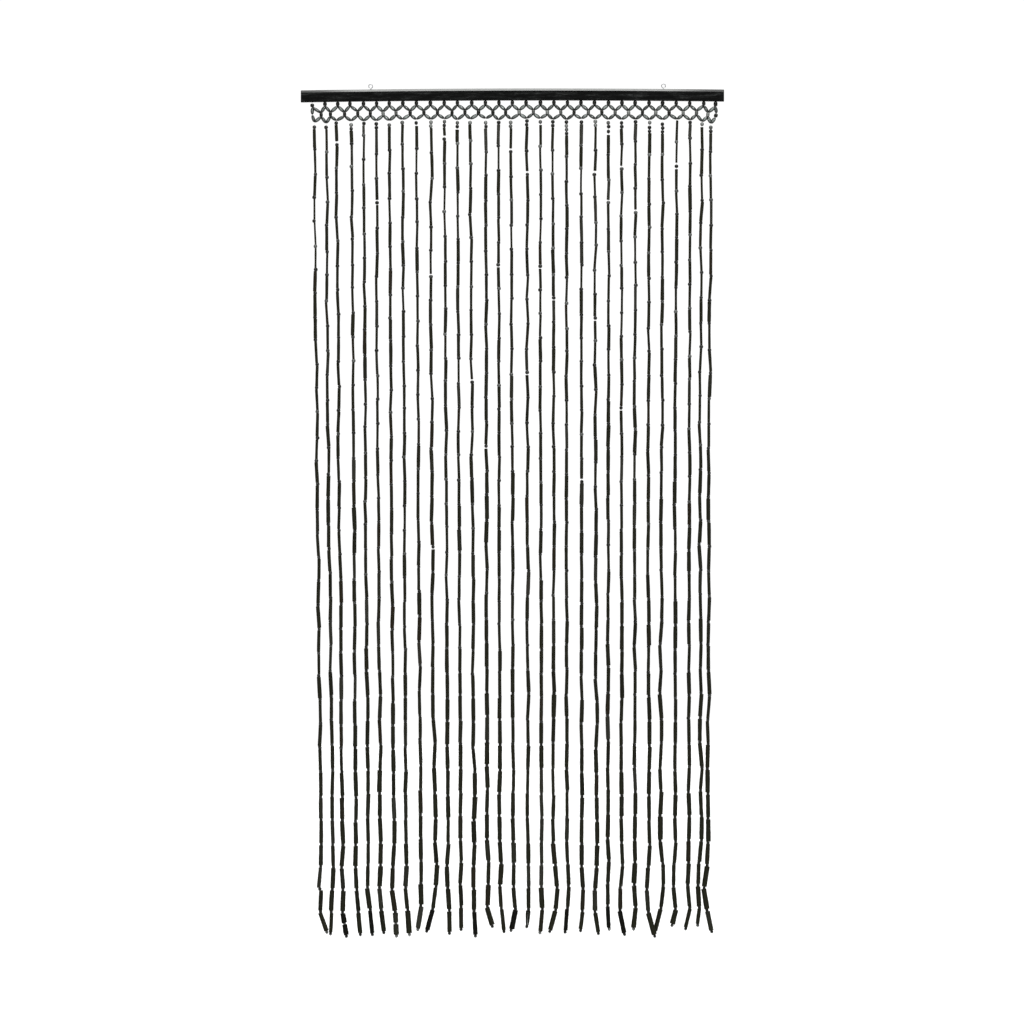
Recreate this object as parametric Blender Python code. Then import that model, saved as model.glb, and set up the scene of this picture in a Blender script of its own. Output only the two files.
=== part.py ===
"""Bamboo door curtain: a wooden head rail with two screw eyes, and a bead lattice with its hanging strands.

Metres, +Z up, +X to the right and -Y to the front. The origin is the middle of the rail's flat back face.
"""
import math
import random
from collections import namedtuple

import bmesh
import bpy
from mathutils import Vector

MM = 0.001
LATTICE_SEED = 11
STRAND_SEED = 11000

# Head rail: a flat batten, slightly bowed and a little out of level
RAIL_LENGTH = 1000 * MM
RAIL_HEIGHT = 28.5 * MM
RAIL_DEPTH = 12 * MM
RAIL_BOW = 3.6 * MM
RAIL_TILT = 2.0 * MM
RAIL_FRONT_EDGE = 5.5 * MM
RAIL_SMALL_EDGE = 1.2 * MM
RAIL_END_EDGE = 1.0 * MM
RAIL_STATIONS = 24
FRONT_EDGE_STEPS = 1
SMALL_EDGE_STEPS = 2

# Screw eyes in the rail's top edge
EYE_PLACES = (-334.9 * MM, 357 * MM)
EYE_HALF_WIDTH = 4.7 * MM
EYE_HALF_HEIGHT = 4.5 * MM
EYE_WIRE = 2.2 * MM
EYE_LIFT = 7.3 * MM
EYE_NECK_SIDE = 0.6 * MM
EYE_NECK_DROP = 0.4 * MM
EYE_SHANK_DEPTH = 13 * MM
EYE_START_DEG = -58
EYE_END_DEG = 232
EYE_STEPS = 20
EYE_SIDES = 8
CLEARANCE = 0.3 * MM

# Bead lattice under the rail
HANG_LENGTH = 9.9 * MM
END_HANG_LENGTH = 12 * MM
UPPER_RUN = 21 * MM
CROSS_LENGTH = 9 * MM
LOWER_RUN = 19.8 * MM
LEFT_END_RUN = 36 * MM
RIGHT_END_RUN = 41 * MM
END_BOW = 2.5 * MM
HANG_SWAY = 0.4 * MM
CROSS_LEAN = 0.8 * MM
SHORT_BEAD = 7.8 * MM
OVAL_BEAD = 8.0 * MM
NECK = 3.0 * MM
HUB = 2.0 * MM
HUB_DEPTH = 3.0 * MM

# Swells of the lattice's runs: share of the way along the run, width, and bow outward in shares of END_BOW
OVAL_SWELL = ((0.5, OVAL_BEAD, 0),)
SHORT_SWELL = ((0.5, SHORT_BEAD, 0),)
LEFT_END_SWELLS = ((0.26, OVAL_BEAD, -0.6), (0.5, NECK, -1.0), (0.74, OVAL_BEAD, -0.6))
RIGHT_END_SWELLS = (
    (0.22, OVAL_BEAD, 1.0),
    (0.42, NECK, 1.6),
    (0.52, SHORT_BEAD, 1.8),
    (0.62, NECK, 1.6),
    (0.82, OVAL_BEAD, 0.6),
)

# Strands
LAYER = -RAIL_DEPTH / 2
BEAD_PITCH = 7.2 * MM
HEAD_PITCH = 9.0 * MM
BARE_GAP = 2.5 * MM
HEAD_WIDTH = 8.0 * MM
TUBE_PITCH = 57.5 * MM
TUBE_SPREAD = 3 * MM
MID_LEVEL = -960 * MM
FOOT_LEVEL = -1982 * MM
KICK_RUN = 53 * MM
KICKS = 4
KINK = 1.3 * MM
WIDE_KINK = 2.3 * MM
DEPTH_KINK = 0.8 * MM
STEADY_JOINTS = 2
WIDTH_SPREAD = 0.16

# Width of the tubes by their place between the first tube's top, 0, and the foot, 1
TUBE_WIDTHS = (
    (0, 6.8 * MM),
    (0.15, 7.1 * MM),
    (0.4, 7.9 * MM),
    (0.65, 8.9 * MM),
    (0.88, 9.8 * MM),
    (1, 10.0 * MM),
)

# Finishes: colour, roughness and metallic value. Edges sharper than SHARP_DEG aren't shaded round.
SHARP_DEG = 40
STAINED_WOOD = ((0.025, 0.024, 0.022), 0.45, 0.0)
ZINC_STEEL = ((0.62, 0.63, 0.64), 0.32, 1.0)
BLACK_BAMBOO = ((0.028, 0.027, 0.021), 0.5, 0.0)

# One row for each strand, left to right, in millimetres. hang: where it hangs, from the rail's middle.
# top, mid, low: how far to the side of that its root, its middle and the place above its last tubes are.
# kick_4 to kick_1: sideways step of each of the last four tubes. last: length of the last one with its
# bead. drop: how much lower than the usual foot it ends. beads: round beads at the top. bare: stretches
# of bare thread among them. first: length of the first tube. fore: how far the foot comes forward, past
# a neighbour that it crosses. kink: w where the strand zigzags widely, else n. sway: how far the
# crossing to its right is off the middle. gap: bare thread above its first bead.
Strand = namedtuple(
    "Strand",
    "hang top mid low kick_4 kick_3 kick_2 kick_1 last drop beads bare first fore kink sway gap",
)
STRANDS = (
    Strand(-473, 5, 12, 21.5, -2, -2, 2, 17, 48, 0, 1, 0, 44, 14, "w", 4.7, 7.1),
    Strand(-443, 3, 8, 19, 1.5, -3.5, -2, -1.5, 52, 5, 1, 0, 50, 0, "w", -2.5, 4.9),
    Strand(-413, -3, 4, 13, -4, 4.5, -1.5, 9.5, 57, 11, 1, 0, 43, 0, "w", 1.4, 1.5),
    Strand(-384, 3, 10, 14, -1, 3, 4, 5.5, 53.5, 7, 2, 0, 27, 0, "n", 2.3, 4.8),
    Strand(-352, 0.5, 5, 11.5, -0.5, -2, 7, 5.5, 59, 7, 1, 0, 20, 0, "n", 0.7, 1.5),
    Strand(-321, -1, 4, 10, -0.5, -2.5, 4, 7, 54, 2.5, 2, 0, 54, 0, "w", 0, 3),
    Strand(-291, 0, 5, 12, -4, -2, 9, 2.5, 57.5, 10.5, 1, 0, 51, 0, "n", -0.5, 6.4),
    Strand(-259, -1, 4, 7.5, 1.5, -2.5, 5, 4, 59, 7, 1, 0, 43, 0, "n", 0.9, 3.3),
    Strand(-227, 0, 5, 10.5, 0.5, 0, 0, -8, 57, -5, 1, 1, 50, 0, "n", 0.8, 3.8),
    Strand(-194, 1.5, 3.5, 11.5, 4, -2.5, -8, -15, 53, -1, 2, 0, 55, 0, "w", 0.5, 2.3),
    Strand(-161, 0, 5, 9.5, -3.5, 2, 3.5, 0.5, 54.5, 4, 2, 0, 24, 0, "n", 3.2, 2.5),
    Strand(-130, 0, 4, 7.5, 1.5, -2.5, 2.5, -0.5, 54, -5, 2, 1, 29, 0, "n", 1.1, 3.1),
    Strand(-96, -4, 1, 6.5, -2.5, 0.5, 1, 3, 59.5, 10.5, 1, 0, 34, 0, "w", 0.2, 4.4),
    Strand(-64, 1, 3, 4.5, 3, -0.5, -2.5, 13, 47.5, -12.5, 2, 0, 52, 0, "n", 1.4, 5.8),
    Strand(-32, -1, 1, 2, 3.5, -3, 3.5, 6, 56, 0, 1, 0, 47, 0, "n", 0.1, 1.8),
    Strand(0, -4, 0, 2, 1, 0, 4, -10.5, 51, -3, 2, 0, 52, 0, "n", -0.5, 3.6),
    Strand(32, 2, 4, 5.5, 0, 1, -1, -3.5, 40.5, -12, 2, 0, 54, 0, "w", 0.2, 1.5),
    Strand(66, 0, 1, 3, 0, -0.5, 2, -5.5, 56, 2.5, 1, 1, 47, 0, "n", 0, 3.9),
    Strand(98, -3, 0, -1.5, 5, 4.5, -4.5, -14.5, 51, -0.5, 2, 0, 50, 0, "n", -0.1, 1.5),
    Strand(130, -2, -2, -1.5, 2.5, 2, -3.5, -5, 57, 1, 4, 0, 46, 0, "n", 0.2, 1.5),
    Strand(162, 1, 1, 1.5, 0.5, 3.5, -2.5, -5, 46.5, -2.5, 1, 0, 47, 0, "n", 2.1, 3.9),
    Strand(194, 2, 2, 6, -1, -4, 0.5, 8, 51.5, 4.5, 2, 0, 51, 0, "w", 0.6, 1.5),
    Strand(227, 0, 0, -1.5, 3, -3, 0, 3, 56, -6, 3, 1, 47, 0, "n", 0, 3.7),
    Strand(259, -1, -1, -1, 2.5, -6, -0.5, 11.5, 58, 6.5, 2, 0, 33, 0, "n", 0, 3.7),
    Strand(290, 1, -1, -0.5, 0, -2, 3.5, -5.5, 52.5, -6, 1, 0, 38, 0, "n", 1.2, 1.5),
    Strand(323, 1, -2.5, 1.5, -3.5, -3.5, 3.5, 15.5, 57, 9.5, 3, 1, 47, 15.5, "n", 0.4, 2.6),
    Strand(355, 0, -2.5, -6, 6.5, 1, -6, -15, 57, 1, 3, 0, 45, 0, "w", -0.5, 6.5),
    Strand(387, 2, -3.5, -1.5, -3.5, -1.5, 5, -9.5, 39, -15, 0, 0, 47, 0, "n", 0.5, 2.8),
    Strand(419, 1, -1, -2.5, -0.5, -1.5, 4.5, -11, 50.5, -7, 1, 0, 29, 0, "n", -0.2, 1.5),
    Strand(452, -4, -10, -5.5, -6, -2, 3.5, -5, 42, -15, 1, 1, 50, 0, "w", -2.6, 1.5),
    Strand(480, -11, -15, -17.5, -2.5, -7.5, 8, 11, 51, 0, 2, 0, 40, 0, "w", 0, 4.8),
)


def interpolate(pairs, at):
    """Value at a place on a line through (place, value) pairs, in rising order of place."""
    for (low, a), (high, b) in zip(pairs, pairs[1:]):
        if at <= high:
            return a + (b - a) * max(at - low, 0) / (high - low)
    return pairs[-1][1]


def rail_middle(x):
    """Height of the bowed rail's centre line."""
    share = 2 * x / RAIL_LENGTH
    return -RAIL_BOW * share * share + RAIL_TILT / 2 * share


def hang_between(a, b, run_a, run_b):
    """Lower point where two taut runs of beads meet that hang from a and b."""
    gap = b - a
    unit = gap.normalized()
    along = (run_a ** 2 - run_b ** 2 + gap.length ** 2) / (2 * gap.length)
    down = math.sqrt(max(run_a ** 2 - along ** 2, 0))
    return a + unit * along + Vector((unit.z, 0, -unit.x)) * down


def lattice_points():
    """Where the lattice's runs meet: under the hanging beads, round the crossing ones, and at its feet."""
    rng = random.Random(LATTICE_SEED)
    last = len(STRANDS) - 1
    hung = []
    for n, row in enumerate(STRANDS):
        x = row.hang * MM
        length = END_HANG_LENGTH if n in (0, last) else HANG_LENGTH
        under = rail_middle(x) - RAIL_HEIGHT / 2 - length
        hung.append(Vector((x + rng.uniform(-1, 1) * HANG_SWAY, LAYER, under)))
    above = []
    below = []
    for a, b, row in zip(hung, hung[1:], STRANDS):
        above.append(hang_between(a, b, UPPER_RUN, UPPER_RUN) + Vector((row.sway * MM, 0, 0)))
        lean = rng.uniform(-1, 1) * CROSS_LEAN
        below.append(above[-1] + Vector((lean, 0, -CROSS_LENGTH)))
    feet = [hang_between(hung[0], below[0], LEFT_END_RUN, LOWER_RUN)]
    feet += [hang_between(a, b, LOWER_RUN, LOWER_RUN) for a, b in zip(below, below[1:])]
    feet.append(hang_between(below[-1], hung[-1], LOWER_RUN, RIGHT_END_RUN))
    for foot, row in zip(feet, STRANDS):
        foot.x = (row.hang + row.top) * MM
    return hung, above, below, feet


def strand_joints(n, root):
    """Points where strand n's tubes meet, from the top of its first tube to its foot, with their widths."""
    row = STRANDS[n]
    rng = random.Random(STRAND_SEED + n)
    hang = row.hang * MM
    kink = WIDE_KINK if row.kink == "w" else KINK
    top = root.z - row.gap * MM - row.beads * HEAD_PITCH - row.bare * BARE_GAP
    foot = FOOT_LEVEL - row.drop * MM
    ankle = foot + row.last * MM
    knee = ankle + (KICKS - 1) * KICK_RUN
    drift = ((-root.z, root.x), (-MID_LEVEL, hang + row.mid * MM), (-knee, hang + row.low * MM))
    second = top - row.first * MM - BEAD_PITCH
    count = round((second - knee) / TUBE_PITCH)
    heights = [top, second]
    for step in range(1, count):
        even = second + (knee - second) * step / count
        heights.append(even + rng.uniform(-1, 1) * TUBE_SPREAD)
    heights.append(knee)
    joints = []
    for place, z in enumerate(heights):
        loose = min(place / STEADY_JOINTS, 1) if z > knee else 0
        side = rng.uniform(-1, 1) * kink * loose
        depth = rng.uniform(-1, 1) * DEPTH_KINK * loose
        joints.append(Vector((interpolate(drift, -z) + side, LAYER + depth, z)))
    x = hang + row.low * MM
    for place, kick in enumerate((row.kick_4, row.kick_3, row.kick_2, row.kick_1), 1):
        x += kick * MM
        fore = row.fore * MM * (place / KICKS) ** 2
        z = foot if place == KICKS else knee - place * KICK_RUN
        joints.append(Vector((x, LAYER - fore, z)))
    widths = []
    for point in joints:
        share = (top - point.z) / (top - foot)
        widths.append(interpolate(TUBE_WIDTHS, share) * (1 + rng.uniform(-1, 1) * WIDTH_SPREAD))
    return joints, widths


def material(name, finish_values):
    """A Principled material of one colour."""
    colour, roughness, metallic = finish_values
    made = bpy.data.materials.new(name)
    made.use_nodes = True
    shader = made.node_tree.nodes["Principled BSDF"]
    shader.inputs["Base Color"].default_value = (*colour, 1)
    shader.inputs["Roughness"].default_value = roughness
    shader.inputs["Metallic"].default_value = metallic
    return made


def finish(name, mesh, surface):
    """Turns a bmesh into a named object with its material and smooth shading."""
    bmesh.ops.recalc_face_normals(mesh, faces=mesh.faces)
    data = bpy.data.meshes.new(name)
    mesh.to_mesh(data)
    mesh.free()
    data.materials.append(surface)
    data.shade_smooth()
    data.set_sharp_from_angle(angle=math.radians(SHARP_DEG))
    made = bpy.data.objects.new(name, data)
    bpy.context.scene.collection.objects.link(made)
    return made


def loft(mesh, rings):
    """Joins rings of as many vertices each, without closing the ends."""
    for a, b in zip(rings, rings[1:]):
        for k in range(len(a)):
            j = (k + 1) % len(a)
            mesh.faces.new((a[k], a[j], b[j], b[k]))


def rail_outline(inset):
    """The batten's section in Y and Z, its front top edge cut off at a slant, drawn in by inset."""
    front = -RAIL_DEPTH + inset
    back = -inset
    top = RAIL_HEIGHT / 2 - inset
    corners = (
        (front, top, RAIL_FRONT_EDGE, FRONT_EDGE_STEPS, 90),
        (front, -top, RAIL_SMALL_EDGE, SMALL_EDGE_STEPS, 180),
        (back, -top, RAIL_SMALL_EDGE, SMALL_EDGE_STEPS, 270),
        (back, top, RAIL_SMALL_EDGE, SMALL_EDGE_STEPS, 0),
    )
    points = []
    for y, z, edge, steps, start in corners:
        radius = edge - inset
        y += radius if y < -RAIL_DEPTH / 2 else -radius
        z += radius if z < 0 else -radius
        for step in range(steps + 1):
            turn = math.radians(start + 90 * step / steps)
            points.append((y + radius * math.cos(turn), z + radius * math.sin(turn)))
    return points


def head_rail(surface):
    """The batten, lofted along its bow, with a pilot hole for each screw eye."""
    mesh = bmesh.new()
    half = RAIL_LENGTH / 2
    inner = half - RAIL_END_EDGE
    places = [-inner + 2 * inner * step / RAIL_STATIONS for step in range(RAIL_STATIONS + 1)]
    stations = [(-half, RAIL_END_EDGE)] + [(x, 0) for x in places] + [(half, RAIL_END_EDGE)]
    rings = []
    for x, inset in stations:
        outline = rail_outline(inset)
        rings.append([mesh.verts.new((x, y, z + rail_middle(x))) for y, z in outline])
    loft(mesh, rings)
    mesh.faces.new(rings[0])
    mesh.faces.new(rings[-1])
    rail = finish("head_rail", mesh, surface)
    for place, x in enumerate(EYE_PLACES, 1):
        cutter = pilot_cutter(f"pilot_{place}", x)
        cut = rail.modifiers.new(cutter.name, "BOOLEAN")
        cut.operation = "DIFFERENCE"
        cut.object = cutter
    return rail


def pilot_cutter(name, x):
    """A closed round plug, a little wider and deeper than the eye's shank."""
    mesh = bmesh.new()
    top = rail_middle(x) + RAIL_HEIGHT / 2
    low = top - EYE_SHANK_DEPTH - CLEARANCE
    radius = EYE_WIRE / 2 + CLEARANCE
    rings = []
    for z in (low, top + EYE_WIRE):
        ring = []
        for k in range(EYE_SIDES):
            turn = 2 * math.pi * k / EYE_SIDES
            ring.append(mesh.verts.new((x + radius * math.cos(turn), LAYER + radius * math.sin(turn), z)))
        rings.append(ring)
    loft(mesh, rings)
    mesh.faces.new(rings[0])
    mesh.faces.new(rings[-1])
    bmesh.ops.recalc_face_normals(mesh, faces=mesh.faces)
    data = bpy.data.meshes.new(name)
    mesh.to_mesh(data)
    mesh.free()
    cutter = bpy.data.objects.new(name, data)
    cutter.hide_render = True
    cutter.display_type = "WIRE"
    bpy.context.scene.collection.objects.link(cutter)
    return cutter


def eye_route(x, side):
    """Centre line of a screw eye: up the shank, then once round the ring. side is 1 or -1."""
    top = rail_middle(x) + RAIL_HEIGHT / 2
    centre = top + EYE_LIFT
    neck = centre - EYE_HALF_HEIGHT - EYE_NECK_DROP
    route = [(0, top - EYE_SHANK_DEPTH), (0, neck - EYE_WIRE), (EYE_NECK_SIDE, neck)]
    for step in range(EYE_STEPS + 1):
        turn = math.radians(EYE_START_DEG + (EYE_END_DEG - EYE_START_DEG) * step / EYE_STEPS)
        route.append((EYE_HALF_WIDTH * math.cos(turn), centre + EYE_HALF_HEIGHT * math.sin(turn)))
    return [Vector((x + side * u, LAYER, z)) for u, z in route]


def screw_eye(name, x, side, surface):
    """A bent wire of round section along the eye's route."""
    mesh = bmesh.new()
    route = eye_route(x, side)
    across = Vector((0, 1, 0))
    rings = []
    for k, point in enumerate(route):
        before = route[max(k - 1, 0)]
        after = route[min(k + 1, len(route) - 1)]
        along = (after - before).normalized()
        out = along.cross(across)
        ring = []
        for s in range(EYE_SIDES):
            turn = 2 * math.pi * (s + 0.5) / EYE_SIDES
            offset = out * math.cos(turn) + across * math.sin(turn)
            ring.append(mesh.verts.new(point + offset * EYE_WIRE / 2))
        rings.append(ring)
    loft(mesh, rings)
    mesh.faces.new(rings[0])
    mesh.faces.new(rings[-1])
    return finish(name, mesh, surface)


def section(mesh, point, along, width, depth):
    """Four vertices round a point, on the left and right of a direction in the XZ plane."""
    left = Vector((-along.z, 0, along.x)) * (width / 2)
    front = Vector((0, -depth / 2, 0))
    corners = (left + front, left - front, -left - front, -left + front)
    return [mesh.verts.new(point + corner) for corner in corners]


def hub(mesh, centre, ends):
    """A small three-sided block where three runs meet. Gives the ring that each run starts from."""
    angles = [math.atan2(end.z - centre.z, end.x - centre.x) for end in ends]
    order = sorted(range(3), key=lambda k: angles[k])
    corners = {}
    for place, k in enumerate(order):
        following = order[(place + 1) % 3]
        gap = (angles[following] - angles[k]) % (2 * math.pi)
        middle = angles[k] + gap / 2
        point = centre + Vector((math.cos(middle), 0, math.sin(middle))) * HUB
        half = Vector((0, HUB_DEPTH / 2, 0))
        corners[k, following] = (mesh.verts.new(point - half), mesh.verts.new(point + half))
    mesh.faces.new([pair[0] for pair in corners.values()])
    mesh.faces.new([pair[1] for pair in corners.values()])
    rings = []
    for k in range(3):
        left = next(pair for key, pair in corners.items() if key[0] == k)
        right = next(pair for key, pair in corners.items() if key[1] == k)
        rings.append([left[0], left[1], right[1], right[0]])
    return rings


def run(mesh, start, end, swells):
    """A run of beads from one hub's ring to another's, with a section at each swell."""
    a = sum((v.co for v in start), Vector()) / 4
    b = sum((v.co for v in end), Vector()) / 4
    along = (b - a).normalized()
    left = Vector((-along.z, 0, along.x))
    rings = [start]
    for share, width, bow in swells:
        rings.append(section(mesh, a.lerp(b, share) + left * bow * END_BOW, along, width, width))
    rings.append([end[3], end[2], end[1], end[0]])
    loft(mesh, rings)


def strand(mesh, n, start, root):
    """One strand of beads and tubes below its root, closed at the foot."""
    down = Vector((0, 0, -1))
    joints, widths = strand_joints(n, root)
    rings = [start]
    row = STRANDS[n]
    if row.beads:
        bead = Vector((joints[0].x, LAYER, (root.z - row.gap * MM + joints[0].z) / 2))
        rings.append(section(mesh, bead, down, HEAD_WIDTH, HEAD_WIDTH))
    for point, width in zip(joints, widths):
        rings.append(section(mesh, point, down, width, width))
    loft(mesh, rings)
    mesh.faces.new(rings[-1])


def bead_strands(surface):
    """The bead lattice under the rail and all the strands that hang from it, as one body."""
    mesh = bmesh.new()
    hung, above, below, feet = lattice_points()
    last = len(STRANDS) - 1
    down = Vector((0, 0, -1))
    up = Vector((0, 0, 1))

    # Each hub is given the points that its runs lead to, in the order of the rings that come back
    hung_hubs = []
    for n, point in enumerate(hung):
        left = above[n - 1] if n > 0 else feet[0]
        right = above[n] if n < last else feet[last]
        hung_hubs.append(hub(mesh, point, (point + up, left, right)))
    above_hubs = [hub(mesh, p, (hung[n], hung[n + 1], p + down)) for n, p in enumerate(above)]
    below_hubs = [hub(mesh, p, (p + up, feet[n], feet[n + 1])) for n, p in enumerate(below)]
    foot_hubs = []
    for n, point in enumerate(feet):
        left = below[n - 1] if n > 0 else hung[0]
        right = below[n] if n < last else hung[last]
        foot_hubs.append(hub(mesh, point, (left, right, point + down)))

    for n, row in enumerate(STRANDS):
        x = row.hang * MM
        ceiling = Vector((x, LAYER, rail_middle(x) - RAIL_HEIGHT / 2 - CLEARANCE))
        cap = section(mesh, ceiling, down, SHORT_BEAD, SHORT_BEAD)
        loft(mesh, [cap, [hung_hubs[n][0][k] for k in (3, 2, 1, 0)]])
        mesh.faces.new(cap)
        strand(mesh, n, foot_hubs[n][2], feet[n])
    for n in range(last):
        run(mesh, hung_hubs[n][2], above_hubs[n][0], OVAL_SWELL)
        run(mesh, hung_hubs[n + 1][1], above_hubs[n][1], OVAL_SWELL)
        run(mesh, above_hubs[n][2], below_hubs[n][0], SHORT_SWELL)
        run(mesh, below_hubs[n][1], foot_hubs[n][1], OVAL_SWELL)
        run(mesh, below_hubs[n][2], foot_hubs[n + 1][0], OVAL_SWELL)
    run(mesh, hung_hubs[0][1], foot_hubs[0][0], LEFT_END_SWELLS)
    run(mesh, hung_hubs[last][2], foot_hubs[last][1], RIGHT_END_SWELLS)
    return finish("bead_strands", mesh, surface)


def build():
    """Clears the scene and makes the whole curtain."""
    for old in list(bpy.data.objects):
        bpy.data.objects.remove(old)
    wood = material("stained_wood", STAINED_WOOD)
    steel = material("zinc_steel", ZINC_STEEL)
    bamboo = material("black_bamboo", BLACK_BAMBOO)
    head_rail(wood)
    screw_eye("eye_left", EYE_PLACES[0], 1, steel)
    screw_eye("eye_right", EYE_PLACES[1], -1, steel)
    bead_strands(bamboo)


build()
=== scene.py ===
"""Looks of the bamboo door curtain: tubes, beads, thread, screw eyes and the finish of every surface.

Metres, +Z up, +X to the right and -Y to the front, as in the solid model.
"""

import math
import random
from collections import namedtuple

import bpy
import numpy as np
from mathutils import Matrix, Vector


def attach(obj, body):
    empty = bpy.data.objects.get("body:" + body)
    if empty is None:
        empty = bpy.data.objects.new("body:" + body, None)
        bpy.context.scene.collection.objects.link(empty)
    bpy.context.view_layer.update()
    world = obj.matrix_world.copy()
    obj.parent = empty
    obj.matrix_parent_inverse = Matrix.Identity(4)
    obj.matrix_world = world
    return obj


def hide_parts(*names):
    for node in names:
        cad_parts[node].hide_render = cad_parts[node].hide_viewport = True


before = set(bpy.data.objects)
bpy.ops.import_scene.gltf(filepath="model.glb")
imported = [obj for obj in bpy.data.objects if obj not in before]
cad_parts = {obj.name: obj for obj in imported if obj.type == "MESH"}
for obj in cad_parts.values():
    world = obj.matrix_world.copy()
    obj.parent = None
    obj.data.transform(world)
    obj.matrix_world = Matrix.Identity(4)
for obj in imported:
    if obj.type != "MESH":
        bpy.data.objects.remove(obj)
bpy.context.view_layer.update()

MM = 0.001
LATTICE_SEED = 11
STRAND_SEED = 11000
BEAD_SEED = 22000
OVAL_SEED = 33000

# Head rail, as the solid has it
RAIL_LENGTH = 1000 * MM
RAIL_HEIGHT = 28.5 * MM
RAIL_DEPTH = 12 * MM
RAIL_BOW = 3.6 * MM
RAIL_TILT = 2.0 * MM

# Screw eyes
EYE_PLACES = (-334.9 * MM, 357 * MM)
EYE_HALF_WIDTH = 4.7 * MM
EYE_HALF_HEIGHT = 4.5 * MM
EYE_WIRE = 2.2 * MM
EYE_LIFT = 7.3 * MM
EYE_NECK_SIDE = 0.6 * MM
EYE_NECK_DROP = 0.4 * MM
EYE_SHANK_DEPTH = 13 * MM
EYE_START_DEG = -58
EYE_END_DEG = 232
EYE_STEPS = 48
EYE_SIDES = 14
EYE_COLLAR = 1.9 * MM
EYE_GRAIN_STEP = 0.7 * MM
EYE_TIP_SHARES = (1.0, 0.8, 0.4, 0.02)
# Radius and height of the collar's section
EYE_COLLAR_SECTION = (
    (EYE_WIRE / 2, -0.3 * MM),
    (EYE_COLLAR, -0.3 * MM),
    (EYE_COLLAR, 0.25 * MM),
    (EYE_WIRE / 2, 0.9 * MM),
)

# Bead lattice
HANG_LENGTH = 9.9 * MM
END_HANG_LENGTH = 12 * MM
END_HANG_GAP = 3.2 * MM
UPPER_RUN = 21 * MM
CROSS_LENGTH = 9 * MM
LOWER_RUN = 19.8 * MM
LEFT_END_RUN = 36 * MM
RIGHT_END_RUN = 41 * MM
LEFT_END_BOW = 2.5 * MM
RIGHT_END_BOW = 6.5 * MM
# Where the short bead of the right end starts and ends on the way down
RIGHT_END_BREAKS = (0.41, 0.64)
HANG_SWAY = 0.4 * MM
CROSS_LEAN = 0.8 * MM
OVAL_WIDTH = 8.4 * MM
OVAL_SPREAD = 0.07
# Share of paler grey on each oval, painted along its front and back as a highlight streak
OVAL_PAINTED_STREAK = (0.25, 1)
OVAL_TIP_GAP = 0.3 * MM
OVAL_SHIFT = 0.3 * MM
HANG_WIDTH = 9.0 * MM
HANG_TIP_GAP = 0.1 * MM
CROSS_WIDTH = 8.2 * MM
CROSS_TIP_GAP = -1.1 * MM
SHORT_SPREAD = 0.06

# Strands
LAYER = -RAIL_DEPTH / 2
BEAD_PITCH = 7.2 * MM
HEAD_PITCH = 9.0 * MM
BARE_GAP = 2.5 * MM
TUBE_PITCH = 57.5 * MM
TUBE_SPREAD = 3 * MM
MID_LEVEL = -960 * MM
FOOT_LEVEL = -1982 * MM
KICK_RUN = 53 * MM
KICKS = 4
KINK = 1.3 * MM
WIDE_KINK = 2.3 * MM
DEPTH_KINK = 0.8 * MM
STEADY_JOINTS = 2
WIDTH_SPREAD = 0.16
TUBE_WIDTHS = (
    (0, 6.3 * MM),
    (0.15, 6.8 * MM),
    (0.4, 7.8 * MM),
    (0.65, 8.65 * MM),
    (0.8, 9.5 * MM),
    (0.88, 10.3 * MM),
    (1, 10.8 * MM),
)
TUBE_UNEVENNESS = ((0, 0.24), (0.3, 0.18), (0.6, 0.13), (1, 0.12))
JOINT_BEAD_WIDTHS = (
    (0, 9.0 * MM),
    (0.3, 9.0 * MM),
    (0.55, 8.4 * MM),
    (1, 7.9 * MM),
)
# How far the tubes reach over the joint beads, growing towards the foot
TUBE_REACH = ((0, 0), (0.4, 0), (0.7, 0.7 * MM), (1, 0.8 * MM))

# Tubes, round beads and thread. TIP_RADIUS is what is left open at a closed end. PATTERN_SHIFT sets the
# grain of one bead apart from the next one's.
TIP_RADIUS = 0.02 * MM
PATTERN_SHIFT = 50
TUBE_SIDES = 14
TUBE_LIP = 0.35 * MM
TUBE_LIP_BARE = 0.3
TUBE_END_RUN = 1.6 * MM
TUBE_BORE = 0.5
TUBE_BORE_DEPTH = 3 * MM
TUBE_SWELL = 0.05
TUBE_SWELL_PLACES = (0.35, 0.68)
TUBE_BOW = 0.25 * MM
TUBE_SHIFT = 0.75 * MM
CUT_SLOPE = 0.10
SPLIT_STRAND = 17
SPLIT_WALL = 1.1 * MM
SPLIT_GRAIN = 0.7
# Share of its length, taper, and half the gap's angle in degrees
SPLIT_STATIONS = (
    (0, 1, 1),
    (0.2, 1, 2),
    (0.3, 0.98, 16),
    (0.6, 0.86, 24),
    (0.85, 0.72, 26),
    (1, 0.6, 30),
)
BEAD_SIDES = 12
BEAD_HOLE = 0.8 * MM
BEAD_SHIFT = 0.6 * MM
BEAD_SEAT = 0.7 * MM
BEAD_CURVE_START = 0.06
BEAD_HOLE_ENDS = (0.3, 0.7)
TOP_BEAD_WIDTH = 9.0 * MM
TOP_BEAD_SPREAD = (0.9, 1.06)
TOP_BEAD_LENGTH = 9.2 * MM
FOOT_BEAD_WIDTH = 7.6 * MM
JOINT_BEAD_SPREAD = (0.9, 1.08)
JOINT_BEAD_GREY = 0.7
JOINT_BEAD_RARITY = 5
OVAL_SIDES = 18
THREAD_WIDTH = 0.7 * MM
THREAD_SIDES = 6
KNOT_WIDTH = 1.8 * MM
KNOT_HOLE = 0.05 * MM
TUBE_GROUPS = 4
BEAD_GROUPS = 2

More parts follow.
